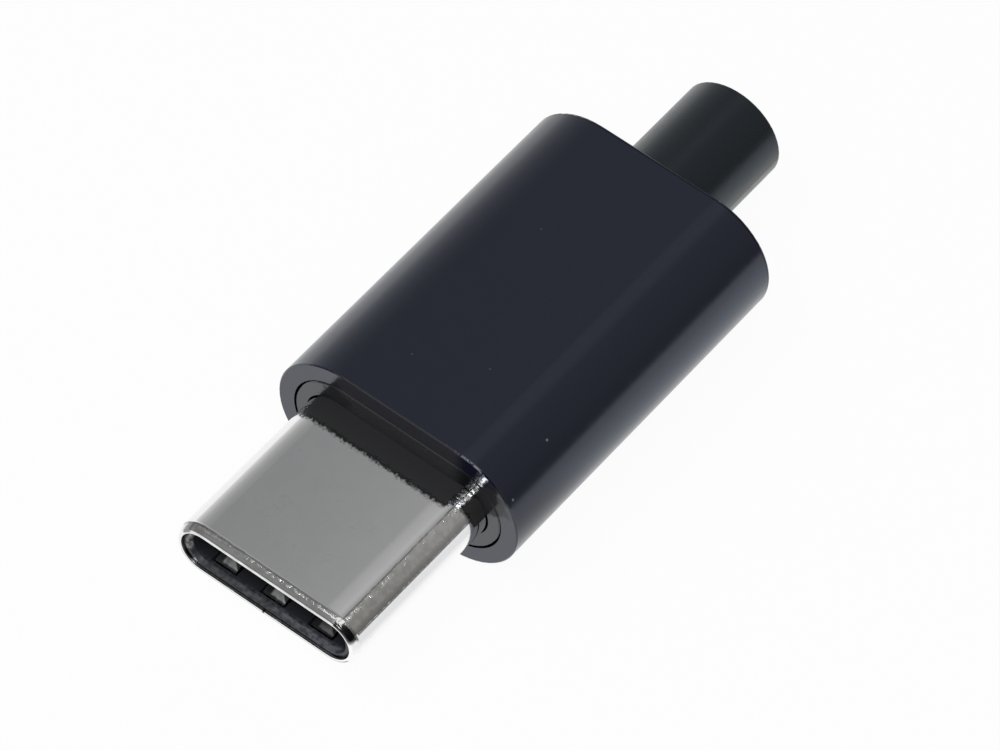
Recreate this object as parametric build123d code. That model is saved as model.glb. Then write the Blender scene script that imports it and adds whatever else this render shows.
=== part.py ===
from build123d import *
import math
import os

# A solder-on plug with a push-on housing, in millimetres.
# X is the plug's width, Y runs from the mouth to the cable end, Z is up.
# Every piece is drawn about the plug's centre line with the mouth at Y = 0.
# The finished pieces are then set down on Z = 0, with the origin under the middle of the length.

# Metal nose
nose_width = 8.25
nose_height = 2.40
nose_exposed = 7.80
shell_wall = 0.28
lip_slope_run = 0.34
lip_slope_drop = 0.14
lip_edge_round = 0.10
shell_reach = 0.30
shell_tab_length = 1.20
shell_tab_height = 0.90
shell_seam = 0.03

# Housing that slides off rearwards
housing_length = 15.8
housing_wall = 0.73
rear_wall = 1.2
front_edge_bevel = 0.05
rear_edge_round = 0.15
stop_rib_width = 0.60
stop_rib_height = 0.35
stop_rib_length = 2.50
stop_rib_inset = 0.45

# Insert that holds the nose and the circuit board
insert_length = 5.80
insert_side_wall = 0.515
insert_flat_wall = 0.79
insert_room_wall = 0.50
insert_edge_bevel = 0.04
collar_length = 2.10
groove_wall = 0.50
groove_depth = 0.45

# Strain relief sleeve
sleeve_length = 5.2
sleeve_diameter = 4.4
sleeve_wall = 0.70
neck_step = 0.25
flange_end_room = 1.25
flange_thickness = 0.80
sleeve_edge_bevel = 0.05
bore_lead_in = 0.20

# Insulator inside the nose
insulator_setback = 0.12
mouth_side_wall = 0.30
mouth_flat_wall = 0.18
mouth_depth = 2.20
mouth_lead_in = 0.20
mouth_lead_in_rise = 0.08
tongue_side_wall = 0.375
tongue_roof_rise = 0.01
tongue_rear_wall = 0.67

# Contacts and their carriers
contact_slots = 12
empty_lower_slots = (6, 7)
contact_width = 0.25
contact_thickness = 0.15
contact_row_depth = 0.48
contact_row_margin = 0.70
contact_tip_run = 0.35
contact_tip_rise = 0.05
contact_bump_run = 0.75
contact_bump_depth = 0.235
contact_crest_drop = 0.175
contact_crest_run = 1.20
contact_bend_run = 0.87
contact_bend_radius = 0.30
contact_tail_length = 1.80
contact_groove_room = 0.11
contact_groove_drop = 0.09
contact_groove_run = 0.20
carrier_length = 2.30
carrier_setback = 1.03

# Middle plate with a latch arm on each side
latch_thickness = 0.20
latch_body_inset = 0.295
latch_body_length = 2.20
latch_arm_width = 0.22
latch_arm_inset = 0.125
latch_hook_depth = 0.34
latch_hook_run = 0.75
latch_tip_relief = 0.20
latch_tip_run = 0.30
latch_bend_run = 1.87
latch_bend_radius = 0.25
latch_slot_overlap = 0.15

# Grounding springs above and below the mouth
spring_thickness = 0.08
spring_plate_length = 2.90
spring_plate_inset = 0.025
spring_finger_count = 3
spring_finger_width = 0.95
spring_finger_inset = 0.225
spring_tip_inset = 0.46
spring_tip_length = 0.42
spring_bump_depth = 0.12
spring_tip_sink = 0.04
spring_bend_radius = 0.15

# Circuit board
board_length = 9.30
board_corner_round = 0.30
pad_thickness = 0.04
pad_margin = 0.10
contact_pad_overrun = 0.45
wire_pad_count = 4
wire_pad_length = 2.00
wire_pad_width = 1.30
wire_pad_margin = 0.65
wire_pad_setback = 0.30
solder_run = 0.30
resistor_length = 1.00
resistor_width = 0.50
resistor_height = 0.35
resistor_cap = 0.22
resistor_setback = 4.10

# Clearances
housing_slide_gap = 0.07
nose_slot_gap = 0.06
insulator_gap = 0.02
board_gap = 0.05
contact_side_gap = 0.05
latch_gap = 0.04
spring_gap = 0.02
spring_window_gap = 0.10
neck_gap = 0.02
flange_gap = 0.10
stop_gap = 0.02

# Sections across the plug, from the nose outwards
insert_width = nose_width + 2 * (nose_slot_gap + insert_side_wall)
insert_height = nose_height + 2 * (nose_slot_gap + insert_flat_wall)
cavity_width = insert_width + 2 * housing_slide_gap
cavity_height = insert_height + 2 * housing_slide_gap
housing_width = cavity_width + 2 * housing_wall
housing_height = cavity_height + 2 * housing_wall

# Sections across the plug, from the nose inwards
nose_inner_width = nose_width - 2 * shell_wall
nose_inner_height = nose_height - 2 * shell_wall
insulator_width = nose_inner_width - 2 * insulator_gap
insulator_height = nose_inner_height - 2 * insulator_gap
mouth_width = insulator_width - 2 * mouth_side_wall
mouth_height = insulator_height - 2 * mouth_flat_wall
tail_bottom = nose_inner_height / 2 - contact_row_depth
tail_top = tail_bottom + contact_thickness
tongue_width = insulator_width - 2 * tongue_side_wall
tongue_height = 2 * (tail_bottom + tongue_roof_rise)
groove_top = tail_top + contact_groove_room
contact_pitch = (tongue_width - 2 * contact_row_margin) / (contact_slots - 1)

# The board lies between the two rows of contact tails
board_top = tail_bottom - pad_thickness
board_width = insert_width - 2 * (groove_wall + board_gap)
nose_side_centre = (nose_width - nose_height) / 2
board_side_reach = math.sqrt((nose_inner_height / 2) ** 2 - board_top ** 2)
board_tongue_width = 2 * (nose_side_centre + board_side_reach - board_gap)
wire_pad_pitch = (board_width - wire_pad_width - 2 * wire_pad_margin) / (wire_pad_count - 1)

# Stations along Y, counted from the mouth
face_y = nose_exposed
housing_end_y = face_y + housing_length
total_length = housing_end_y + sleeve_length
cavity_end_y = housing_end_y - rear_wall
insert_end_y = face_y + insert_length
collar_end_y = face_y + collar_length
shell_end_y = collar_end_y + shell_reach
tab_end_y = shell_end_y + shell_tab_length
carrier_end_y = shell_end_y - carrier_setback
insulator_end_y = carrier_end_y - carrier_length
tongue_end_y = insulator_end_y - tongue_rear_wall
board_front_y = carrier_end_y + board_gap
board_end_y = board_front_y + board_length
tail_end_y = board_front_y + contact_tail_length
spring_tip_y = insulator_setback + spring_tip_inset


def across(y):
    """The plane across the plug at a station, seen from the mouth."""
    return Plane.XZ.offset(-y)


def run(outline, start_y, end_y):
    """An outline carried straight along the plug."""
    return extrude(across(end_y) * outline, amount=end_y - start_y)


def block(width, start_y, end_y, bottom, top, x=0.0):
    """A rectangular block centred on x."""
    outline = Pos(x, (bottom + top) / 2) * Rectangle(width, top - bottom)
    return run(outline, start_y, end_y)


def bent_strip(points, radii, thickness, width, x):
    """A strip of sheet metal: points follow its inner face, in the YZ plane."""
    inner_face = FilletPolyline(*points, radius=radii)
    outline = inner_face.wire().offset_2d(thickness, side=Side.LEFT, closed=True)
    return extrude(Plane.YZ.offset(x - width / 2) * make_face(outline), amount=width)


def below(piece):
    """The same piece turned to the underside of the plug."""
    return mirror(piece, about=Plane.XY)


def contact_x(slot):
    """Place of a contact slot across the plug."""
    return (slot - (contact_slots + 1) / 2) * contact_pitch


def make_nose_shell():
    """Rolled tube with a sloped lip, a butt seam underneath and two rear side tabs."""
    tube = run(SlotOverall(nose_width, nose_height), 0, shell_end_y)
    front = tube.faces().sort_by(Axis.Y)[0]
    tube = chamfer(front.edges(), lip_slope_drop, lip_slope_run, reference=front)
    tube = fillet(tube.faces().sort_by(Axis.Y)[0].edges(), lip_edge_round)
    sides = SlotOverall(nose_width, nose_height) & Rectangle(nose_width, shell_tab_height)
    hollow = run(SlotOverall(nose_inner_width, nose_inner_height), 0, tab_end_y)
    seam = block(shell_seam, 0, shell_end_y, -nose_height, 0)
    return tube + run(sides, shell_end_y, tab_end_y) - hollow - seam


def make_housing():
    """Seamless sleeve with a closed rear wall and four ribs that the insert seats against."""
    shape = run(SlotOverall(housing_width, housing_height), face_y, housing_end_y)
    shape = chamfer(shape.faces().sort_by(Axis.Y)[0].edges(), front_edge_bevel)
    shape = fillet(shape.faces().sort_by(Axis.Y)[-1].edges(), rear_edge_round)
    shape -= run(SlotOverall(cavity_width, cavity_height), face_y, cavity_end_y)
    neck_radius = sleeve_diameter / 2 - neck_step
    shape -= run(Circle(neck_radius + neck_gap), cavity_end_y, housing_end_y)
    rib_start = insert_end_y + stop_gap
    rib_x = (cavity_width - cavity_height) / 2 - stop_rib_inset
    for x in (-rib_x, rib_x):
        rib = block(
            stop_rib_width,
            rib_start,
            rib_start + stop_rib_length,
            cavity_height / 2 - stop_rib_height,
            cavity_height / 2,
            x,
        )
        shape += rib + below(rib)
    return shape


def make_front_insert():
    """Collar round the nose, open behind, with a groove for the board down each cheek."""
    outer = SlotOverall(insert_width, insert_height)
    nose_slot = SlotOverall(nose_width + 2 * nose_slot_gap, nose_height + 2 * nose_slot_gap)
    tab_slot = nose_slot & Rectangle(nose_width * 2, shell_tab_height + 2 * nose_slot_gap)
    room = Rectangle(board_width - 2 * groove_depth, insert_height - 2 * insert_room_wall)
    room += Rectangle(board_width + 2 * board_gap, 2 * (board_top + board_gap))
    collar = run(outer - nose_slot, face_y, collar_end_y)
    collar = chamfer(collar.faces().sort_by(Axis.Y)[0].outer_wire().edges(), insert_edge_bevel)
    beside_shell = run(outer - (room + nose_slot), collar_end_y, shell_end_y)
    beside_tabs = run(outer - (room + tab_slot), shell_end_y, tab_end_y)
    cheeks = run(outer - room, tab_end_y, insert_end_y)
    return collar + beside_shell + beside_tabs + cheeks


def make_strain_relief():
    """Soft sleeve on a neck through the rear wall, held inside by an oblong flange."""
    sleeve_radius = sleeve_diameter / 2
    flange = SlotOverall(cavity_width - 2 * flange_end_room, cavity_height - 2 * flange_gap)
    flange_y = cavity_end_y - flange_thickness
    shape = run(Circle(sleeve_radius), housing_end_y, total_length)
    shape = chamfer(shape.faces().sort_by(Axis.Y)[-1].edges(), sleeve_edge_bevel)
    shape += run(Circle(sleeve_radius - neck_step), cavity_end_y, housing_end_y)
    shape += run(flange, flange_y, cavity_end_y)
    shape -= run(Circle(sleeve_radius - sleeve_wall), flange_y, total_length)
    mouth = shape.edges().filter_by(GeomType.CIRCLE).group_by(Axis.Y)[-1].sort_by(SortBy.RADIUS)[0]
    return chamfer(mouth, bore_lead_in)


def contact_groove(x):
    """Room for one contact beam in the insulator's roof and rear wall."""
    return block(
        contact_width + 2 * contact_side_gap,
        mouth_depth + contact_groove_run,
        insulator_end_y,
        tongue_height / 2 - contact_groove_drop,
        groove_top,
        x,
    )


def spring_pocket():
    """Shallow bed for a grounding spring's plate on top of the insulator."""
    width = 2 * (nose_side_centre - spring_plate_inset + spring_gap)
    bottom = insulator_height / 2 - spring_thickness - spring_gap
    plate_end_y = mouth_depth + spring_plate_length
    return block(width, mouth_depth - spring_gap, plate_end_y + spring_gap, bottom, nose_height / 2)


def spring_window(x):
    """Opening in the mouth's roof for one grounding finger."""
    width = spring_finger_width + 2 * spring_window_gap
    return block(width, spring_tip_y - spring_window_gap, mouth_depth, 0, nose_height / 2, x)


def latch_slot(side):
    """Slot through one side wall for a latch arm."""
    inner_x = tongue_width / 2 - latch_slot_overlap
    outer_x = nose_width / 2
    half_height = latch_thickness / 2 + latch_gap
    middle_x = side * (inner_x + outer_x) / 2
    return block(outer_x - inner_x, mouth_depth, insulator_end_y, -half_height, half_height, middle_x)


def make_insulator():
    """Moulded lining of the nose: a stepped cavity with beam grooves, windows and latch slots."""
    shape = run(SlotOverall(insulator_width, insulator_height), insulator_setback, insulator_end_y)
    mouth = SlotOverall(mouth_width, mouth_height)
    flare = SlotOverall(mouth_width + 2 * mouth_lead_in_rise, mouth_height + 2 * mouth_lead_in_rise)
    flare_end = across(insulator_setback + mouth_lead_in) * mouth
    shape -= loft([across(insulator_setback) * flare, flare_end])
    shape -= run(mouth, insulator_setback, mouth_depth)
    shape -= run(Rectangle(tongue_width, tongue_height), mouth_depth, tongue_end_y)
    upper_cuts = [contact_groove(contact_x(slot)) for slot in range(1, contact_slots + 1)]
    lower_cuts = [below(cut) for slot, cut in enumerate(upper_cuts, 1) if slot not in empty_lower_slots]
    spring_cuts = [spring_pocket()] + [spring_window(x) for x in finger_places()]
    latch_cuts = [latch_slot(side) for side in (-1, 1)]
    for cut in upper_cuts + lower_cuts + spring_cuts + [below(cut) for cut in spring_cuts] + latch_cuts:
        shape -= cut
    return shape


def finger_places():
    """Middle of each grounding finger across the plug."""
    outer_x = nose_side_centre - spring_plate_inset - spring_finger_inset - spring_finger_width / 2
    pitch = 2 * outer_x / (spring_finger_count - 1)
    return [place * pitch - outer_x for place in range(spring_finger_count)]


def make_grounding_spring():
    """Flat plate behind the mouth with fingers that dip into it through the windows."""
    outer = insulator_height / 2
    inner = outer - spring_thickness
    plate_end_y = mouth_depth + spring_plate_length
    shape = block(2 * (nose_side_centre - spring_plate_inset), mouth_depth, plate_end_y, inner, outer)
    points = [
        (spring_tip_y, mouth_height / 2 + spring_tip_sink),
        (spring_tip_y + spring_tip_length, mouth_height / 2 - spring_bump_depth),
        (mouth_depth, inner),
        (plate_end_y, inner),
    ]
    radii = [spring_bend_radius, spring_bend_radius]
    for x in finger_places():
        shape += bent_strip(points, radii, spring_thickness, spring_finger_width, x)
    return shape


def make_latch_plate():
    """Stamped middle plate with a hooked spring arm down each side of the cavity."""
    body_middle_y = insulator_end_y + latch_body_length / 2
    body = Rectangle(nose_inner_width - 2 * latch_body_inset, latch_body_length)
    outline = Pos(0, body_middle_y) * body
    arm_x = (nose_inner_width - latch_arm_width) / 2 - latch_arm_inset
    hook_x = (tongue_width + latch_arm_width) / 2 - latch_hook_depth
    for side in (-1, 1):
        middle = FilletPolyline(
            (side * arm_x, insulator_end_y + latch_arm_width),
            (side * arm_x, insulator_end_y - latch_bend_run),
            (side * hook_x, mouth_depth + latch_hook_run),
            (side * (hook_x + latch_tip_relief), mouth_depth + latch_tip_run),
            radius=[latch_bend_radius, latch_bend_radius],
        )
        outline += make_face(middle.wire().offset_2d(latch_arm_width / 2, side=Side.BOTH, closed=True))
    return extrude(Pos(0, 0, -latch_thickness / 2) * outline, amount=latch_thickness)


def make_contact(slot):
    """One upper contact: solder tail, straight shank, and a beam with a rounded touch point."""
    bend_y = insulator_end_y - contact_bend_run
    points = [
        (mouth_depth + contact_tip_run, tongue_height / 2 + contact_tip_rise),
        (mouth_depth + contact_bump_run, tongue_height / 2 - contact_bump_depth),
        (bend_y - contact_crest_run, groove_top - contact_crest_drop),
        (bend_y, tail_bottom),
        (tail_end_y, tail_bottom),
    ]
    radii = [contact_bend_radius / 2, contact_bend_radius, contact_bend_radius]
    return bent_strip(points, radii, contact_thickness, contact_width, contact_x(slot))


def make_carrier(contacts):
    """Moulding over the shanks of one row of contacts, above the middle plate."""
    half = insulator_height / 2
    bottom = latch_thickness / 2
    upper_half = Pos(0, (bottom + half) / 2) * Rectangle(insulator_width, half - bottom)
    outline = SlotOverall(insulator_width, insulator_height) & upper_half
    shape = run(outline, insulator_end_y, carrier_end_y)
    for contact in contacts:
        shape -= contact
    return shape


def make_circuit_board():
    """Board with a tongue into the nose and shoulders behind the shell's side tabs."""
    shoulder_y = tab_end_y + board_gap
    tongue = block(board_tongue_width, board_front_y, shoulder_y, -board_top, board_top)
    wide = block(board_width, shoulder_y, board_end_y, -board_top, board_top)
    corners = wide.edges().filter_by(Axis.Z).group_by(Axis.Y)[-1]
    return tongue + fillet(corners, board_corner_round)


def contact_pad(slot):
    """Copper under one upper contact tail."""
    return block(
        contact_width,
        board_front_y + pad_margin,
        tail_end_y + contact_pad_overrun,
        board_top,
        tail_bottom,
        contact_x(slot),
    )


def solder_fillet(slot):
    """Solder against the end of one upper contact tail."""
    outline = make_face(
        Polyline(
            (tail_end_y, tail_bottom),
            (tail_end_y + solder_run, tail_bottom),
            (tail_end_y, tail_top),
            close=True,
        )
    )
    return extrude(Plane.YZ.offset(contact_x(slot) - contact_width / 2) * outline, amount=contact_width)


def both_rows(make_one):
    """One group of solids: a full upper row and a lower row without its empty places."""
    solids = []
    for slot in range(1, contact_slots + 1):
        solids.append(make_one(slot).solid())
        if slot not in empty_lower_slots:
            solids.append(below(make_one(slot)).solid())
    return Compound(solids)


def make_wire_pads():
    """Copper pads for the wires, above and below the board's rear end."""
    end_y = board_end_y - wire_pad_setback
    solids = []
    for place in range(wire_pad_count):
        x = (place - (wire_pad_count - 1) / 2) * wire_pad_pitch
        pad = block(wire_pad_width, end_y - wire_pad_length, end_y, board_top, tail_bottom, x)
        solids += [pad.solid(), below(pad).solid()]
    return Compound(solids)


def resistor_blocks():
    """Body of the chip resistor and its two end caps."""
    start_y = board_end_y - resistor_setback
    half = resistor_length / 2
    body_width = resistor_length - 2 * resistor_cap
    top = board_top + resistor_height
    body = block(body_width, start_y, start_y + resistor_width, board_top, top)
    caps = [
        block(
            resistor_cap,
            start_y,
            start_y + resistor_width,
            board_top,
            top,
            side * (half - resistor_cap / 2),
        ).solid()
        for side in (-1, 1)
    ]
    return body, Compound(caps)


upper_contacts = {slot: make_contact(slot) for slot in range(1, contact_slots + 1)}
lower_contacts = {
    slot: below(contact) for slot, contact in upper_contacts.items() if slot not in empty_lower_slots
}
upper_spring = make_grounding_spring()
resistor_body, resistor_caps = resistor_blocks()

pieces = {
    "rear_housing": make_housing(),
    "strain_relief": make_strain_relief(),
    "front_insert": make_front_insert(),
    "nose_shell": make_nose_shell(),
    "insulator": make_insulator(),
    "upper_grounding_spring": upper_spring,
    "lower_grounding_spring": below(upper_spring),
    "latch_plate": make_latch_plate(),
    "upper_contact_carrier": make_carrier(upper_contacts.values()),
    "lower_contact_carrier": below(
        make_carrier([upper_contacts[slot] for slot in lower_contacts])
    ),
    "circuit_board": make_circuit_board(),
    "contact_pads": both_rows(contact_pad),
    "contact_solder": both_rows(solder_fillet),
    "wire_pads": make_wire_pads(),
    "chip_resistor": resistor_body,
    "resistor_end_caps": resistor_caps,
}
for slot, contact in upper_contacts.items():
    pieces[f"upper_contact_{slot}"] = contact
for slot, contact in lower_contacts.items():
    pieces[f"lower_contact_{slot}"] = contact

set_down = Pos(0, -total_length / 2, housing_height / 2)
os.makedirs("parts", exist_ok=True)
for name, piece in pieces.items():
    export_step(set_down * piece, f"parts/{name}.step")
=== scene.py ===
import math

import bpy
from mathutils import Matrix, Vector


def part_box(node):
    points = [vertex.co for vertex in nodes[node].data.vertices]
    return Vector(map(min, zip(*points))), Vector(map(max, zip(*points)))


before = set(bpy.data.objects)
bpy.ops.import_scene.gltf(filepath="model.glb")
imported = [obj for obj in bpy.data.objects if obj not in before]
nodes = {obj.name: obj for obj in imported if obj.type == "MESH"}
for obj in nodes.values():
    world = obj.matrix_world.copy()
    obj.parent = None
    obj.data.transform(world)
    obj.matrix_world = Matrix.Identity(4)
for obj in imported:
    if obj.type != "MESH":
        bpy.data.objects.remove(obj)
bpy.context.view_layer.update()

# Places along the plug in millimetres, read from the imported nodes
MM = 0.001
nose_low, nose_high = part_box("nose_shell")
housing_low, housing_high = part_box("rear_housing")
mouth_mm = nose_low.y / MM
face_mm = housing_low.y / MM
axis_mm = (housing_low.z + housing_high.z) / 2 / MM
rear_mm = housing_high.y / MM
housing_side_mm = housing_high.x / MM
housing_radius_mm = (housing_high.z - housing_low.z) / 2 / MM
nose_side_mm = nose_high.x / MM
nose_radius_mm = (nose_high.z - nose_low.z) / 2 / MM
board_low_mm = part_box("circuit_board")[0].z / MM
board_high_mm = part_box("circuit_board")[1].z / MM

# Places of dust, of painted dark reflection patches and of small details, in millimetres
finger_pitch_mm = 2.2
right_dark_patch_mm = (4.22, face_mm, axis_mm + 1.50)
left_dark_patch_mm = (-2.95, face_mm, axis_mm + 1.45)
housing_faint_dust_mm = ((-1.43, 3.68, 5.70), (-1.50, -4.09, 5.70), (1.08, -2.77, 5.70))
housing_dust_mm = ((4.38, -3.61, 5.12), (4.88, -6.26, 4.63), (2.84, 9.156, 5.656))
insert_faint_dust_mm = ((-2.41, face_mm, 4.79), (-0.31, face_mm, 4.66), (0.25, face_mm, 4.61))
insert_dust_mm = ((3.85, face_mm, 3.39), (4.18, face_mm, 3.75))
plated_holes_mm = ((-1.75, 0.55), (1.75, 0.55), (-3.55, 0.9), (3.55, 0.9), (0.0, 1.25), (-1.55, 1.35))

# Colours that more than one place shows
BRIGHT_METAL = (0.98, 0.98, 0.98)
# Black of the painted shadow at the nose lip's right corner, and of the dark seam underneath
BLACK_SHADOW_AND_SEAM = (0.03, 0.03, 0.03)
DUST = (0.18, 0.18, 0.20)
# Dark grey of the painted reflection patches on the front face
DARK_REFLECTION_GREY = (0.0290, 0.0290, 0.0320)
BLACK_PLASTIC = (0.015, 0.015, 0.016)
PALER_BLACK_PLASTIC = (0.022, 0.022, 0.023)

# Camera fitted to the photograph: degrees, pixels of its frame, millimetres
camera_azimuth = 31.256
camera_elevation = 52.468
camera_roll = 7.566
frame_width_px = 1000
frame_height_px = 750
centre_x_px = 466.38
centre_y_px = 394.75
focal_px = 6862.75
sensor_mm = 36
target_from_mouth_mm = 12.0
camera_distance_mm = 252.594

# Surroundings by height, from level to straight up: place on the ramp, level of grey, warmth
REAR_LEFT = (
    (0.0, 0.80, 0.0),
    (0.12, 0.64, 0.0),
    (0.40, 0.42, 0.0),
    (0.64, 0.32, 0.0),
    (0.78, 0.26, -0.01),
    (1.0, 0.26, -0.01),
)
REAR_RIGHT = (
    (0.0, 0.15, 0.01),
    (0.17, 0.18, 0.01),
    (0.45, 0.25, 0.02),
    (0.67, 0.26, 0.01),
    (0.81, 0.29, 0.0),
    (1.0, 0.28, 0.0),
)
FRONT_LEFT = ((0.0, 0.45, 0.0), (0.15, 0.30, 0.0), (0.4, 0.16, 0.0), (0.8, 0.22, 0.0), (1.0, 0.26, 0.0))
FRONT_RIGHT = ((0.0, 0.06, 0.0), (0.5, 0.05, 0.0), (0.7, 0.07, 0.0), (0.85, 0.2, 0.0), (1.0, 0.28, 0.0))
HIGH_PATCH_GREY = 0.43


# Shader helpers
def new_material(name, colour, roughness, metallic=0.0):
    """A material and its node tree, with the constants on the shader's own sockets."""
    material = bpy.data.materials.new(name)
    material.use_nodes = True
    shader = material.node_tree.nodes["Principled BSDF"]
    shader.inputs["Base Color"].default_value = (*colour, 1)
    shader.inputs["Roughness"].default_value = roughness
    shader.inputs["Metallic"].default_value = metallic
    return material, material.node_tree, shader


def math_node(tree, operation, first, second=None, third=None):
    """A Math node fed by sockets or numbers."""
    node = tree.nodes.new("ShaderNodeMath")
    node.operation = operation
    for socket, value in zip(node.inputs, (first, second, third)):
        if value is None:
            continue
        if isinstance(value, (int, float)):
            socket.default_value = value
        else:
            tree.links.new(value, socket)
    return node.outputs[0]


def chain(tree, operation, values):
    """One operation over several values, from the first to the last."""
    result = values[0]
    for value in values[1:]:
        result = math_node(tree, operation, result, value)
    return result


def product(tree, *values):
    """Several values multiplied."""
    return chain(tree, "MULTIPLY", values)


def total(tree, *values):
    """Several values added."""
    return chain(tree, "ADD", values)


def highest(tree, *values):
    """The highest of several values."""
    return chain(tree, "MAXIMUM", values)


def minus(tree, first, second):
    """The second value taken from the first."""
    return math_node(tree, "SUBTRACT", first, second)


def apart(tree, first, second):
    """How far two values are apart."""
    return math_node(tree, "ABSOLUTE", minus(tree, first, second))


def vector_node(tree, operation, first, second=None):
    """A Vector Math node fed by sockets or tuples."""
    node = tree.nodes.new("ShaderNodeVectorMath")
    node.operation = operation
    for socket, value in zip(node.inputs, (first, second)):
        if value is None:
            continue
        if isinstance(value, tuple):
            socket.default_value = value
        else:
            tree.links.new(value, socket)
    return node.outputs["Value"] if operation in ("LENGTH", "DISTANCE") else node.outputs["Vector"]


def smooth(tree, value, low, high, to_low=0.0, to_high=1.0):
    """A smooth step of a value between two limits."""
    node = tree.nodes.new("ShaderNodeMapRange")
    node.interpolation_type = "SMOOTHSTEP"
    for name, number in (("From Min", low), ("From Max", high), ("To Min", to_low), ("To Max", to_high)):
        node.inputs[name].default_value = number
    tree.links.new(value, node.inputs["Value"])
    return node.outputs["Result"]


def fade(tree, value, low, high):
    """1 below two limits, 0 above them, smooth between."""
    return smooth(tree, value, low, high, 1.0, 0.0)


def band(tree, value, low, high, edge):
    """1 between two limits, 0 outside, with soft edges."""
    rise = smooth(tree, value, low - edge, low + edge)
    fall = fade(tree, value, high - edge, high + edge)
    return product(tree, rise, fall)


def object_place(tree):
    """Object coordinates in millimetres, whole and as X, Y and Z."""
    place = tree.nodes.new("ShaderNodeTexCoord").outputs["Object"]
    scaled = tree.nodes.new("ShaderNodeVectorMath")
    scaled.operation = "SCALE"
    scaled.inputs["Scale"].default_value = 1 / MM
    tree.links.new(place, scaled.inputs[0])
    split = tree.nodes.new("ShaderNodeSeparateXYZ")
    tree.links.new(scaled.outputs[0], split.inputs[0])
    return scaled.outputs[0], split.outputs


def noise(tree, place, per_mm, detail=2.0, stretch=None):
    """Noise with that many features to a millimetre."""
    if stretch is not None:
        mapping = tree.nodes.new("ShaderNodeMapping")
        mapping.inputs["Scale"].default_value = stretch
        tree.links.new(place, mapping.inputs["Vector"])
        place = mapping.outputs[0]
    node = tree.nodes.new("ShaderNodeTexNoise")
    node.inputs["Scale"].default_value = per_mm
    node.inputs["Detail"].default_value = detail
    tree.links.new(place, node.inputs["Vector"])
    return node.outputs["Fac"]


def sway(tree, place, per_mm, detail, width):
    """Noise on both sides of zero, with that width in all."""
    return product(tree, minus(tree, noise(tree, place, per_mm, detail), 0.5), width)


def blend_colours(tree, share, first, second):
    """A colour mixed from two colours, given as tuples or sockets."""
    node = tree.nodes.new("ShaderNodeMix")
    node.data_type = "RGBA"
    tree.links.new(share, node.inputs["Factor"])
    for name, value in (("A", first), ("B", second)):
        socket = [s for s in node.inputs if s.name == name and s.type == "RGBA"][0]
        if isinstance(value, tuple):
            socket.default_value = (*value, 1)
        else:
            tree.links.new(value, socket)
    return [s for s in node.outputs if s.type == "RGBA"][0]


def paint_over(tree, colour, *layers):
    """A colour with layers over it, each a share and a colour, from the lowest to the topmost."""
    for share, layer in layers:
        colour = blend_colours(tree, share, colour, layer)
    return colour


def bump(tree, height_mm, shader):
    """Relief from a height in millimetres."""
    node = tree.nodes.new("ShaderNodeBump")
    node.inputs["Distance"].default_value = MM
    node.inputs["Strength"].default_value = 1.0
    tree.links.new(height_mm, node.inputs["Height"])
    tree.links.new(node.outputs[0], shader.inputs["Normal"])


def outline_depth(tree, x, above, side_mm, radius_mm):
    """Depth under the outline of an oblong section with half-round ends."""
    flat_mm = side_mm - radius_mm
    middle = math_node(tree, "MINIMUM", highest(tree, x, -flat_mm), flat_mm)
    radial = tree.nodes.new("ShaderNodeCombineXYZ")
    tree.links.new(minus(tree, x, middle), radial.inputs[0])
    tree.links.new(above, radial.inputs[2])
    return minus(tree, radius_mm, vector_node(tree, "LENGTH", radial.outputs[0]))


def specks(tree, place, per_mm, share, radius):
    """Sparse round specks: 1 inside a speck, 0 outside."""
    cells = tree.nodes.new("ShaderNodeTexVoronoi")
    cells.inputs["Scale"].default_value = per_mm
    tree.links.new(place, cells.inputs["Vector"])
    near = smooth(tree, cells.outputs["Distance"], radius, radius * 0.5)
    split = tree.nodes.new("ShaderNodeSeparateColor")
    tree.links.new(cells.outputs["Color"], split.inputs[0])
    chosen = math_node(tree, "LESS_THAN", split.outputs[0], share)
    return product(tree, near, chosen)


def grains(tree, place, points, radius):
    """Dust grains at given places."""
    distances = [vector_node(tree, "DISTANCE", place, point) for point in points]
    return highest(tree, *[smooth(tree, away, radius, radius * 0.4) for away in distances])


def dress(name, material):
    """Gives a CAD node its material."""
    mesh = nodes[name].data
    mesh.materials.clear()
    mesh.materials.append(material)


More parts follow.
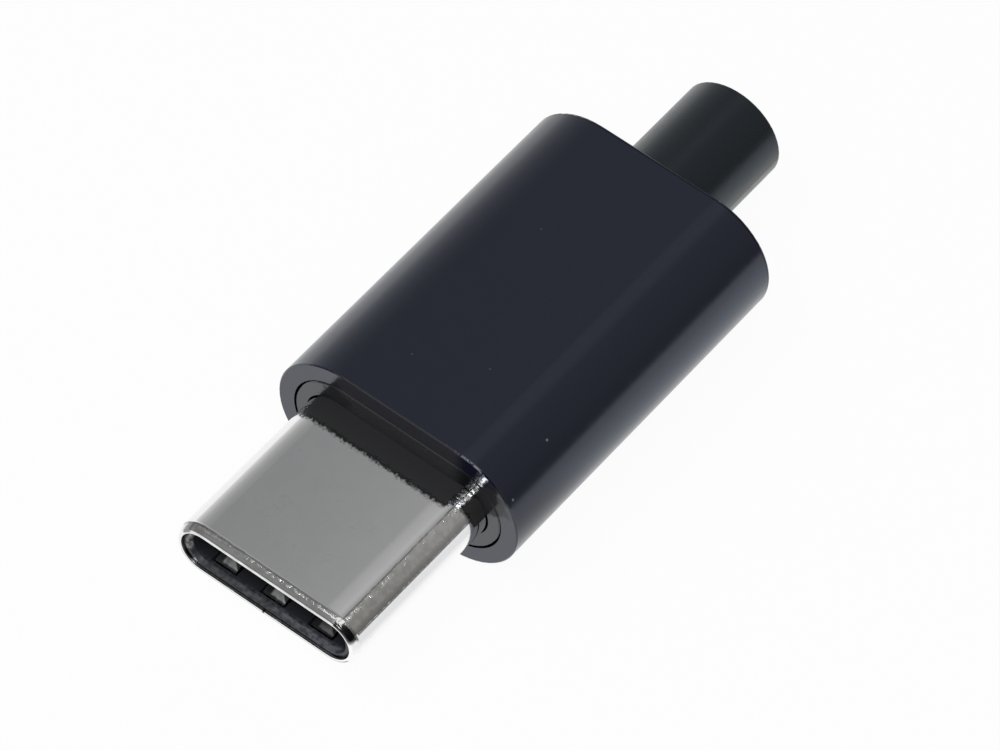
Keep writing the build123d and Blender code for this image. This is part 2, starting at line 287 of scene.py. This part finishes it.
# Polished nickel-plated steel of the nose
def nose_material():
    """Polished metal with a tarnished lip, a burr painted white as a highlight, crumbs, a painted shadow at
    the lip's right corner, and a painted dark reflection at the root.
    """
    material, tree, shader = new_material("nose_steel", (0.88, 0.88, 0.875), 0.07, 1.0)
    place, (x, y, z) = object_place(tree)
    from_mouth = minus(tree, y, mouth_mm)
    above = minus(tree, z, axis_mm)
    depth = outline_depth(tree, x, above, nose_side_mm, nose_radius_mm)
    upper = smooth(tree, above, 0.45, 0.65)
    wobble = sway(tree, place, 2.5, 3.0, 0.08)
    along = total(tree, from_mouth, wobble)
    across = total(tree, x, wobble)

    # Broad upper part of the sloped lip: stained, dark at the left end, with a painted black shadow at the
    # right corner
    on_slope = product(tree, fade(tree, from_mouth, 0.30, 0.38), fade(tree, depth, 0.220, 0.246), upper)
    streaky = noise(tree, place, 6.0, 4.0, stretch=(0.45, 1, 1))
    stain = product(tree, on_slope, smooth(tree, streaky, 0.35, 0.65, 0.15, 1.0))
    left_end = product(tree, on_slope, band(tree, across, -3.80, -3.48, 0.05))
    corner_shadow = product(tree, on_slope, band(tree, across, 3.02, 3.92, 0.03), fade(tree, from_mouth, 0.25, 0.31))

    # Burr at the right corner, with a tail along the slope, painted bright white as a highlight
    jagged = sway(tree, place, 5.0, 4.0, 0.34)
    jagged_x = total(tree, x, jagged)
    jagged_y = total(tree, from_mouth, product(tree, jagged, -0.6))
    blob = product(tree, band(tree, jagged_x, 3.02, 3.34, 0.03), band(tree, jagged_y, 0.14, 0.33, 0.02))
    tail = product(tree, band(tree, jagged_x, 2.45, 3.05, 0.10), band(tree, jagged_y, 0.180, 0.225, 0.012))
    burr_glint = product(tree, highest(tree, blob, tail), upper)
    mottled_burr_glint = product(tree, burr_glint, smooth(tree, noise(tree, place, 11.0, 3.0), 0.42, 0.52, 0.5, 1.0))

    # Thin dark lines: painted shade of the crease where the slope begins, and a dark line along the right
    # upper edge
    lip_line = product(tree, band(tree, along, 0.275, 0.348, 0.018), upper)
    edge_line = product(
        tree,
        band(tree, across, 3.178, 3.232, 0.012),
        smooth(tree, above, 0.6, 0.8),
        smooth(tree, from_mouth, 0.3, 0.4),
    )
    broken = smooth(tree, noise(tree, place, 3.4, 3.0), 0.35, 0.50, 0.6, 1.0)
    dark_lines = product(tree, highest(tree, lip_line, edge_line), broken)

    # Brownish strip along the right upper edge, with a ragged grey border
    beside = total(tree, x, product(tree, wobble, 0.4))
    strip = product(tree, band(tree, beside, 3.21, 3.86, 0.02), smooth(tree, above, 0.4, 0.6))
    patchy = smooth(tree, noise(tree, place, 3.6, 4.0), 0.35, 0.65, 0.45, 1.0)
    ragged = total(tree, x, sway(tree, place, 6.5, 3.0, 0.22))
    strip_border = product(tree, strip, smooth(tree, ragged, 3.64, 3.74))
    faded = product(tree, strip, smooth(tree, from_mouth, 1.5, 7.0, 0.0, 0.10))

    # Scratches at the root, strongest beside the right edge
    rubbed = product(
        tree,
        smooth(tree, from_mouth, 6.7, 7.3),
        smooth(tree, x, 2.5, 3.1, 0.12, 1.0),
        fade(tree, x, 3.3, 3.5),
    )
    streaks = noise(tree, place, 7.0, 3.0, stretch=(0.35, 1.5, 1))
    scratched = product(tree, rubbed, smooth(tree, x, 2.3, 3.0), smooth(tree, streaks, 0.54, 0.60))

    # Crumbs of metal on the slope and along the right upper edge, none on the painted corner shadow
    lip_clusters = smooth(tree, noise(tree, place, 1.7, 2.0), 0.38, 0.52, 0.3, 1.0)
    on_lip = product(
        tree,
        band(tree, along, 0.18, 0.28, 0.03),
        smooth(tree, x, -2.0, 0.5, 0.35, 1.0),
        upper,
        lip_clusters,
    )
    edge_clusters = smooth(tree, noise(tree, place, 2.6, 2.0), 0.36, 0.48, 0.4, 1.0)
    beside_edge = product(
        tree,
        band(tree, across, 3.25, 3.40, 0.04),
        smooth(tree, above, 0.6, 0.8),
        smooth(tree, from_mouth, 1.0, 3.5, 1.0, 0.7),
        edge_clusters,
    )
    crumbly = product(
        tree,
        highest(tree, on_lip, beside_edge),
        smooth(tree, noise(tree, place, 6.5, 3.0), 0.50, 0.58),
        minus(tree, 1.0, corner_shadow),
    )

    # Dull white metal of crumbs, of the burr's painted highlight and of scratches, and faintly on the strip
    dull_crumbs = product(tree, crumbly, 0.42)
    dull_scratches = product(tree, scratched, 0.25)
    dull_metal = highest(tree, dull_crumbs, mottled_burr_glint, dull_scratches, faded)

    # Painted dark reflection of the front face on the nose at the root, and a matte dark grey on the nose
    # inside the slot in front of the insert
    grainy = sway(tree, place, 9.0, 4.0, 0.45)
    to_root = total(tree, from_mouth, grainy)
    grainy_x = total(tree, x, grainy)
    top_root_reflection = product(tree, smooth(tree, to_root, 6.42, 6.92), band(tree, grainy_x, -3.72, 2.98, 0.10))
    side_root_reflection = product(tree, smooth(tree, to_root, 6.95, 7.20), smooth(tree, grainy_x, 3.36, 3.50))
    root_reflection = product(
        tree,
        highest(tree, top_root_reflection, side_root_reflection),
        smooth(tree, above, 0.35, 0.5),
        fade(tree, y, face_mm + 0.05, face_mm + 0.30),
    )
    thick_root_reflection = smooth(tree, root_reflection, 0.4, 1.0)
    in_slot = product(
        tree,
        band(tree, y, face_mm - 0.005, face_mm + 0.20, 0.005),
        band(tree, grainy_x, -3.2, 2.4, 0.15),
        smooth(tree, above, 0.9, 1.0),
    )

    # Grey outer edge of the lower lip, faint worm-like marks, and the dark butt seam underneath
    lower_edge = product(
        tree,
        band(tree, depth, 0.12, 0.205, 0.015),
        fade(tree, from_mouth, 0.14, 0.18),
        smooth(tree, above, -0.4, -0.6),
    )
    trail = apart(tree, noise(tree, place, 1.7, 2.0), 0.5)
    marks = product(
        tree,
        fade(tree, trail, 0.0, 0.012),
        smooth(tree, noise(tree, place, 0.9, 1.0), 0.50, 0.60),
        smooth(tree, from_mouth, 6.0, 6.4, 0.14, 0.0),
    )
    seam = product(tree, band(tree, x, -0.04, 0.04, 0.01), smooth(tree, above, -0.7, -0.8))

    # Colour
    mottle = noise(tree, place, 1.3, 3.0)
    mottled = blend_colours(tree, mottle, (0.84, 0.845, 0.85), (0.91, 0.905, 0.90))
    colour = paint_over(
        tree,
        mottled,
        # brighter metal along the right edge, a painted highlight line
        (smooth(tree, x, 2.7, 3.15), BRIGHT_METAL),
        (stain, (0.66, 0.66, 0.65)),
        (product(tree, left_end, 0.85), (0.20, 0.20, 0.20)),
        (product(tree, strip, patchy), (0.76, 0.74, 0.70)),
        (product(tree, strip_border, 0.6), (0.60, 0.61, 0.60)),
        (product(tree, dark_lines, 0.85), (0.28, 0.28, 0.28)),
        # painted shadow at the right corner
        (product(tree, corner_shadow, 0.95), BLACK_SHADOW_AND_SEAM),
        (dull_metal, BRIGHT_METAL),
        # painted dark reflection at the root, then matte dark grey on the nose inside the slot
        (smooth(tree, root_reflection, 0.0, 0.6), (0.0312, 0.0312, 0.0330)),
        (in_slot, (0.035, 0.035, 0.034)),
        (product(tree, lower_edge, 0.9), (0.30, 0.30, 0.30)),
        (marks, (0.5, 0.5, 0.5)),
        (seam, BLACK_SHADOW_AND_SEAM),
    )
    tree.links.new(colour, shader.inputs["Base Color"])

    # Finish: bare and polished, duller in the marked places, no metal under the painted root reflection and
    # in the slot
    coated = highest(tree, dull_metal, thick_root_reflection, in_slot)
    tree.links.new(minus(tree, 1.0, coated), shader.inputs["Metallic"])
    tree.links.new(smooth(tree, thick_root_reflection, 0.0, 1.0, 0.5, 0.2), shader.inputs["Specular IOR Level"])
    polish = smooth(tree, noise(tree, place, 9.0, 2.0), 0.2, 0.8, 0.05, 0.12)
    dull_places = ((dark_lines, 0.25), (stain, 0.15), (burr_glint, 0.3), (root_reflection, 0.25))
    dull = total(tree, *[product(tree, masked_area, amount) for masked_area, amount in dull_places])
    tree.links.new(total(tree, polish, dull), shader.inputs["Roughness"])

    # Relief: crowned broad side that eases into the right edge, and a fine grain
    crown = product(tree, x, x, -0.0035)
    ease = smooth(tree, x, 2.4, 3.3, 0.0, -0.036)
    grain = product(tree, noise(tree, place, 14.0, 1.0), 0.0002)
    # Step behind the lip, raised crumbs and burr, uneven strip and slope, dents near the housing
    step = product(tree, smooth(tree, along, 0.34, 0.42, 0.010, 0.0), upper)
    raised_crumbs = product(tree, crumbly, 0.009)
    raised_burr = product(tree, burr_glint, noise(tree, place, 9.0, 2.0), 0.03)
    uneven_strip = product(tree, strip, noise(tree, place, 5.0, 3.0), 0.0040)
    uneven_slope = product(tree, on_slope, noise(tree, place, 8.0, 3.0, stretch=(0.5, 1, 1)), 0.0036)
    dents = product(tree, rubbed, smooth(tree, noise(tree, place, 7.0, 3.0), 0.52, 0.66), 0.007)
    rough_spots = total(tree, raised_crumbs, raised_burr)
    uneven = total(tree, uneven_strip, uneven_slope)
    bump(tree, total(tree, crown, ease, grain, step, rough_spots, uneven, dents), shader)
    return material


# Moulded plastics
def plastic(name, colour, paler, roughness, grain_mm, ior=1.5, tint=(1, 1, 1), details=None):
    """A moulded plastic with lint on it; details adds what only one piece shows."""
    material, tree, shader = new_material(name, colour, roughness)
    shader.inputs["IOR"].default_value = ior
    shader.inputs["Specular Tint"].default_value = (*tint, 1)
    place, axes = object_place(tree)
    paint = blend_colours(tree, noise(tree, place, 0.45, 3.0), colour, paler)
    lint = specks(tree, place, 0.9, 0.03, 0.04)
    paint = blend_colours(tree, product(tree, lint, 0.4), paint, (0.12, 0.12, 0.13))
    handling = noise(tree, place, 2.2, 4.0)
    sheen = smooth(tree, handling, 0.25, 0.8, roughness * 0.9, roughness * 1.12)
    relief = product(tree, noise(tree, place, 3.5, 3.0), grain_mm)
    if details:
        paint, sheen, relief = details(tree, shader, place, axes, paint, sheen, relief)
    tree.links.new(paint, shader.inputs["Base Color"])
    tree.links.new(sheen, shader.inputs["Roughness"])
    bump(tree, relief, shader)
    return material


def on_face(tree, y, end_mm):
    """1 on the plug's front face, 0 from that far behind it."""
    return fade(tree, y, face_mm + 0.03, face_mm + end_mm)


def reflection_over_nose(tree, x, y, above):
    """Painted dark reflection on the front face, over the nose."""
    return product(tree, band(tree, x, -3.0, 2.6, 0.4), smooth(tree, above, 1.0, 1.2), on_face(tree, y, 0.07))


def dark_reflection_patches(tree, place, y):
    """Painted dark reflection patches on the front face, dull and irregular, at both ends of the painted
    reflection over the nose.
    """
    uneven = sway(tree, place, 2.4, 4.0, 1.3)
    right_away = total(tree, vector_node(tree, "DISTANCE", place, right_dark_patch_mm), uneven)
    left_away = total(tree, vector_node(tree, "DISTANCE", place, left_dark_patch_mm), uneven)
    both = highest(tree, smooth(tree, right_away, 1.05, 0.48), smooth(tree, left_away, 0.85, 0.25))
    return product(tree, both, on_face(tree, y, 0.10))


def housing_details(tree, shader, place, axes, paint, sheen, relief):
    """Dust, a frayed upper front edge, a dull rear edge, and a glossier front face with painted dark
    reflection over the nose and in patches at its ends.
    """
    x, y, z = axes
    above = minus(tree, z, axis_mm)
    depth = outline_depth(tree, x, above, housing_side_mm, housing_radius_mm)
    frayed = total(tree, noise(tree, place, 11.0, 4.0), smooth(tree, x, 1.8, 3.2, 0.0, 0.09))
    edge = product(
        tree,
        on_face(tree, y, 0.07),
        smooth(tree, depth, 0.11, 0.05),
        smooth(tree, above, 1.8, 2.2),
        smooth(tree, x, 0.6, 2.4, 0.12, 1.0),
        fade(tree, x, 3.5, 3.7),
        smooth(tree, frayed, 0.48, 0.62),
    )
    dark_patches = dark_reflection_patches(tree, place, y)
    paint = paint_over(
        tree,
        paint,
        (grains(tree, place, housing_faint_dust_mm, 0.055), (0.05, 0.05, 0.06)),
        (grains(tree, place, housing_dust_mm, 0.07), DUST),
        (edge, (0.24, 0.25, 0.30)),
        # painted dark reflection over the nose, and dark patches of painted reflection at its ends
        (reflection_over_nose(tree, x, y, above), (0.0370, 0.0370, 0.0440)),
        (dark_patches, DARK_REFLECTION_GREY),
    )
    dull = smooth(tree, y, rear_mm - 0.22, rear_mm - 0.12, 0.5, 0.15)
    glossy = smooth(tree, y, face_mm + 0.03, face_mm + 0.20, 0.06, 0.0)
    gloss = minus(tree, total(tree, dull, glossy), product(tree, dark_patches, 0.40))
    tree.links.new(gloss, shader.inputs["Specular IOR Level"])
    sheen = product(tree, sheen, smooth(tree, y, face_mm + 0.03, face_mm + 0.20, 0.45, 1.0))
    return paint, sheen, relief


def insert_details(tree, shader, place, axes, paint, sheen, relief):
    """Dust on the front face, with painted dark reflection over the nose and in dull patches at its ends."""
    x, y, z = axes
    above = minus(tree, z, axis_mm)
    dark_patches = dark_reflection_patches(tree, place, y)
    paint = paint_over(
        tree,
        paint,
        (grains(tree, place, insert_dust_mm, 0.07), DUST),
        (grains(tree, place, insert_faint_dust_mm, 0.06), (0.06, 0.06, 0.06)),
        # painted dark reflection over the nose, and dark patches of painted reflection at its ends
        (reflection_over_nose(tree, x, y, above), (0.0420, 0.0420, 0.0460)),
        (dark_patches, DARK_REFLECTION_GREY),
    )
    tree.links.new(smooth(tree, dark_patches, 0.0, 1.0, 0.56, 0.08), shader.inputs["Specular IOR Level"])
    return paint, sheen, relief


def lining_details(tree, shader, place, axes, paint, sheen, relief):
    """Painted shade on the rim of the mouth, painted light on its left wall and on a strip of its floor."""
    x, y, z = axes
    above = minus(tree, z, axis_mm)
    depth = outline_depth(tree, x, above, nose_side_mm, nose_radius_mm)
    cloudy = smooth(tree, noise(tree, place, 6.0, 4.0), 0.38, 0.62, 0.1, 1.0)
    lit_floor_strip = product(
        tree,
        smooth(tree, above, -0.45, -0.60),
        fade(tree, y, mouth_mm + 0.30, mouth_mm + 0.55),
        smooth(tree, x, -2.5, 1.0, 0.5, 1.0),
        cloudy,
    )
    lit_left_wall = product(
        tree,
        smooth(tree, x, -3.42, -3.52),
        band(tree, above, -0.62, 0.85, 0.08),
        fade(tree, y, mouth_mm + 0.25, mouth_mm + 0.35),
        cloudy,
    )
    ends = smooth(tree, math_node(tree, "ABSOLUTE", x), 2.9, 3.5, 0.0, 0.07)
    inward = minus(tree, depth, ends)
    rim_shade = product(tree, fade(tree, y, mouth_mm + 0.16, mouth_mm + 0.20), smooth(tree, inward, 0.33, 0.30))
    paint = paint_over(
        tree,
        paint,
        # painted light on the floor strip and the left wall, painted shade on the rim
        (lit_floor_strip, (0.100, 0.103, 0.120)),
        (lit_left_wall, (0.26, 0.265, 0.27)),
        (rim_shade, (0.002, 0.002, 0.002)),
    )
    tree.links.new(smooth(tree, rim_shade, 0.0, 1.0, 0.5, 0.1), shader.inputs["Specular IOR Level"])
    return paint, sheen, relief


def board_details(tree, shader, place, axes, paint, sheen, relief):
    """Traces under the mask, plated holes with painted shade in their middles, a white frame round the chip,
    bare edges.
    """
    x, y, z = axes
    side = math_node(tree, "ABSOLUTE", x)
    # Outer traces run forward from the outer pads, inner ones to the chip's end caps
    outer = smooth(tree, y, 0.1, 1.3, 2.2, 2.85)
    inner = smooth(tree, y, 0.5, 1.5, 0.39, 0.95)
    outer_trace = smooth(tree, apart(tree, side, outer), 0.19, 0.15)
    inner_line = smooth(tree, apart(tree, side, inner), 0.12, 0.09)
    inner_trace = product(tree, inner_line, smooth(tree, y, 0.25, 0.30))
    trace = product(tree, highest(tree, outer_trace, inner_trace), fade(tree, y, 1.80, 1.84))
    # Plated holes, with painted shade in their middles
    flat = vector_node(tree, "MULTIPLY", place, (1.0, 1.0, 0.0))
    distances = [vector_node(tree, "DISTANCE", flat, (*hole_mm, 0)) for hole_mm in plated_holes_mm]
    ring = highest(tree, *[smooth(tree, away, 0.20, 0.18) for away in distances])
    hole = highest(tree, *[smooth(tree, away, 0.11, 0.09) for away in distances])
    # White frame round the chip
    frame_x = minus(tree, side, 0.66)
    frame_y = minus(tree, apart(tree, y, 0.27), 0.40)
    white_line = band(tree, highest(tree, frame_x, frame_y), -0.035, 0.035, 0.01)
    # Bare glass and resin along the edges
    bare = band(tree, z, board_low_mm + 0.03, board_high_mm - 0.03, 0.01)
    paint = paint_over(
        tree,
        paint,
        (product(tree, trace, 0.8), (0.035, 0.165, 0.065)),
        (product(tree, ring, 0.85), (0.06, 0.20, 0.08)),
        # painted shade in the middle of each hole
        (hole, (0.004, 0.008, 0.005)),
        (product(tree, white_line, 0.9), (0.62, 0.62, 0.60)),
        (bare, (0.30, 0.26, 0.13)),
    )
    relief = total(tree, relief, product(tree, trace, 0.015), product(tree, hole, -0.03))
    return paint, sheen, relief


# Stamped and plated metals
def darkened_fingers(tree, place, x, y, paint):
    """Spring fingers with painted shade at the tip and at the rear right, darker on the left; the right
    finger dimmer.
    """
    beside = math_node(tree, "WRAP", x, finger_pitch_mm / 2, -finger_pitch_mm / 2)
    back = total(tree, minus(tree, y, mouth_mm), sway(tree, place, 6.0, 2.0, 0.07))
    tip = fade(tree, back, 0.63, 0.71)
    left = fade(tree, beside, -0.24, -0.12)
    right = smooth(tree, total(tree, product(tree, beside, 0.83), back), 1.05, 1.11)
    masked_area = highest(tree, left, right, tip)
    return paint_over(
        tree,
        paint,
        # painted shade on the fingers
        (product(tree, masked_area, 0.92), (0.025, 0.026, 0.029)),
        (smooth(tree, x, 0.9, 1.3, 0.0, 0.55), (0.03, 0.03, 0.033)),
    )


def metal(name, colour, paler, roughness, relief_mm=0.0008, fingers=False):
    """A metal with fine lengthwise streaks."""
    material, tree, shader = new_material(name, colour, roughness, 1.0)
    place, axes = object_place(tree)
    streaks = noise(tree, place, 6.0, 3.0, stretch=(1, 0.12, 1))
    paint = blend_colours(tree, streaks, colour, paler)
    if fingers:
        # painted shade on the spring fingers
        paint = darkened_fingers(tree, place, axes[0], axes[1], paint)
    tree.links.new(paint, shader.inputs["Base Color"])
    sheen = smooth(tree, streaks, 0.25, 0.75, roughness * 0.8, roughness * 1.3)
    tree.links.new(sheen, shader.inputs["Roughness"])
    bump(tree, product(tree, streaks, relief_mm), shader)
    return material


housing_black = plastic(
    "housing_black", (0.0026, 0.0037, 0.0150), (0.0032, 0.0043, 0.0168), 0.21, 0.0002,
    ior=1.72, tint=(0.84, 0.90, 1.0), details=housing_details,
)
insert_black = plastic(
    "insert_black", (0.0030, 0.0034, 0.0050), (0.0042, 0.0046, 0.0062), 0.12, 0.0002,
    ior=1.72, tint=(0.93, 0.97, 1.0), details=insert_details,
)
sleeve_black = plastic(
    "sleeve_black", (0.0070, 0.0092, 0.0135), (0.0088, 0.0110, 0.0155), 0.28, 0.0008,
    ior=1.56, tint=(0.85, 0.96, 1.0),
)
insulator_black = plastic(
    "insulator_black", (0.021, 0.023, 0.028), (0.027, 0.029, 0.034), 0.38, 0.0010, details=lining_details
)
carrier_black = plastic("carrier_black", BLACK_PLASTIC, PALER_BLACK_PLASTIC, 0.42, 0.0015)
resistor_black = plastic("resistor_black", BLACK_PLASTIC, PALER_BLACK_PLASTIC, 0.35, 0.0010)
board_green = plastic(
    "board_green", (0.012, 0.085, 0.035), (0.016, 0.105, 0.045), 0.25, 0.0006, details=board_details
)
spring_steel = metal("spring_steel", (0.88, 0.88, 0.89), (0.95, 0.95, 0.95), 0.36, 0.00005, fingers=True)
contact_gold = metal("contact_gold", (0.80, 0.58, 0.22), (0.90, 0.68, 0.30), 0.22)
pad_gold = metal("pad_gold", (0.80, 0.60, 0.26), (0.88, 0.68, 0.34), 0.42)
solder = metal("solder", (0.60, 0.61, 0.62), (0.74, 0.75, 0.76), 0.30)
nose_steel = nose_material()

# Every node's finish; the contacts are gold
finishes = {
    "rear_housing": housing_black,
    "front_insert": insert_black,
    "strain_relief": sleeve_black,
    "nose_shell": nose_steel,
    "insulator": insulator_black,
    "upper_contact_carrier": carrier_black,
    "lower_contact_carrier": carrier_black,
    "upper_grounding_spring": spring_steel,
    "lower_grounding_spring": spring_steel,
    "latch_plate": spring_steel,
    "circuit_board": board_green,
    "contact_pads": pad_gold,
    "wire_pads": pad_gold,
    "contact_solder": solder,
    "resistor_end_caps": solder,
    "chip_resistor": resistor_black,
}
for name in nodes:
    dress(name, finishes.get(name, contact_gold))


def make_floor():
    """Pale floor: white to the eye and in reflections, but keeping a faint shadow."""
    half_size = 3.0
    mesh = bpy.data.meshes.new("floor")
    corners = [
        (-half_size, -half_size, 0),
        (half_size, -half_size, 0),
        (half_size, half_size, 0),
        (-half_size, half_size, 0),
    ]
    mesh.from_pydata(corners, [], [(0, 1, 2, 3)])
    floor = bpy.data.objects.new("floor", mesh)
    bpy.context.scene.collection.objects.link(floor)
    material = bpy.data.materials.new("floor_white")
    material.use_nodes = True
    tree = material.node_tree
    tree.nodes.clear()
    out = tree.nodes.new("ShaderNodeOutputMaterial")
    paint = tree.nodes.new("ShaderNodeBsdfDiffuse")
    paint.inputs["Color"].default_value = (0.92, 0.92, 0.92, 1)
    glow = tree.nodes.new("ShaderNodeEmission")
    glow.inputs["Strength"].default_value = 1.0

    # In reflections the ground grows greyer to the right and the rear
    axes = object_place(tree)[1]
    x, y = axes[0], axes[1]
    rays = tree.nodes.new("ShaderNodeLightPath").outputs
    unseen = minus(tree, 1.0, rays["Is Camera Ray"])
    shade = product(tree, smooth(tree, x, 4.5, 11.0), smooth(tree, y, -24.0, -8.0), unseen)
    beside = total(tree, y, product(tree, x, -0.35))
    cool = product(tree, smooth(tree, beside, -5.0, -2.0), smooth(tree, x, 13.0, 20.0, 1.0, 0.3))
    further = blend_colours(tree, cool, (0.76, 0.76, 0.76), (0.84, 0.91, 1.0))
    tree.links.new(blend_colours(tree, shade, (1, 1, 1), further), glow.inputs["Color"])
    seen = highest(tree, rays["Is Camera Ray"], rays["Is Glossy Ray"], rays["Is Transmission Ray"])
    mix = tree.nodes.new("ShaderNodeMixShader")
    tree.links.new(product(tree, seen, 0.95), mix.inputs[0])
    tree.links.new(paint.outputs[0], mix.inputs[1])
    tree.links.new(glow.outputs[0], mix.inputs[2])
    tree.links.new(mix.outputs[0], out.inputs[0])
    mesh.materials.append(material)


def grey(level, warmth=0.0):
    """A grey, warmer or cooler than neutral."""
    return (level * (1 + warmth), level, level * (1 - warmth))


def ramp(tree, value, stops):
    """Greys along a value; each stop is a place, a level and a warmth."""
    node = tree.nodes.new("ShaderNodeValToRGB")
    elements = node.color_ramp.elements
    while len(elements) < len(stops):
        elements.new(0.5)
    for element, (position, level, warmth) in zip(elements, stops):
        element.position = position
        element.color = (*grey(level, warmth), 1)
    tree.links.new(value, node.inputs[0])
    return node.outputs[0]


def make_world():
    """Surroundings: bright low down on the left, dimmer overhead and on the right."""
    world = bpy.data.worlds.new("studio")
    bpy.context.scene.world = world
    world.use_nodes = True
    tree = world.node_tree
    tree.nodes.clear()
    out = tree.nodes.new("ShaderNodeOutputWorld")
    background = tree.nodes.new("ShaderNodeBackground")
    direction = tree.nodes.new("ShaderNodeTexCoord").outputs["Generated"]
    split = tree.nodes.new("ShaderNodeSeparateXYZ")
    tree.links.new(direction, split.inputs[0])
    x, y, z = split.outputs
    height = highest(tree, z, 0.0)
    to_right = smooth(tree, x, -0.30, 0.25)
    rear = blend_colours(tree, to_right, ramp(tree, height, REAR_LEFT), ramp(tree, height, REAR_RIGHT))
    # Soft lighter patch high up behind the plug
    patch = product(
        tree,
        smooth(tree, x, -0.38, -0.14),
        fade(tree, x, -0.03, 0.12),
        smooth(tree, z, 0.66, 0.78),
    )
    rear = blend_colours(tree, patch, rear, grey(HIGH_PATCH_GREY))
    front = blend_colours(tree, to_right, ramp(tree, height, FRONT_LEFT), ramp(tree, height, FRONT_RIGHT))
    colour = blend_colours(tree, smooth(tree, y, -0.15, 0.25), front, rear)
    tree.links.new(colour, background.inputs["Color"])
    tree.links.new(background.outputs[0], out.inputs[0])


def softbox(name, direction, distance, width, length, watts, mirrored=True):
    """A soft lamp that faces the plug."""
    lamp = bpy.data.lights.new(name, "AREA")
    lamp.shape = "RECTANGLE"
    lamp.size = width
    lamp.size_y = length
    lamp.energy = watts
    holder = bpy.data.objects.new(name, lamp)
    bpy.context.scene.collection.objects.link(holder)
    holder.location = Vector(direction).normalized() * distance
    holder.rotation_mode = "QUATERNION"
    holder.rotation_quaternion = Vector(direction).to_track_quat("Z", "Y")
    holder.visible_glossy = mirrored


def make_camera():
    """Camera at the photograph's place."""
    azimuth = math.radians(camera_azimuth)
    elevation = math.radians(camera_elevation)
    roll = math.radians(camera_roll)
    back_x = math.sin(azimuth) * math.cos(elevation)
    back_y = -math.cos(azimuth) * math.cos(elevation)
    back = Vector((back_x, back_y, math.sin(elevation)))
    level = Vector((math.cos(azimuth), math.sin(azimuth), 0))
    upright = back.cross(level)
    right = level * math.cos(roll) + upright * math.sin(roll)
    up = upright * math.cos(roll) - level * math.sin(roll)
    target = Vector((0, mouth_mm + target_from_mouth_mm, axis_mm)) * MM
    camera = bpy.data.cameras.new("camera")
    camera.sensor_width = sensor_mm
    camera.lens = focal_px * sensor_mm / frame_width_px
    camera.shift_x = (frame_width_px / 2 - centre_x_px) / frame_width_px
    camera.shift_y = (centre_y_px - frame_height_px / 2) / frame_width_px
    camera.clip_start = 0.01
    camera.clip_end = 20
    holder = bpy.data.objects.new("camera", camera)
    bpy.context.scene.collection.objects.link(holder)
    rotation = Matrix((right, up, back)).transposed()
    holder.matrix_world = Matrix.Translation(target + back * camera_distance_mm * MM) @ rotation.to_4x4()
    bpy.context.scene.camera = holder


make_floor()
make_world()
softbox("key_light", (0.27, -0.52, 0.81), distance=0.6, width=0.11, length=0.20, watts=1.1)
softbox("fill_light", (-0.25, -0.35, 0.90), distance=0.8, width=0.50, length=0.50, watts=2.2, mirrored=False)
make_camera()
bpy.context.scene.view_settings.view_transform = "Standard"
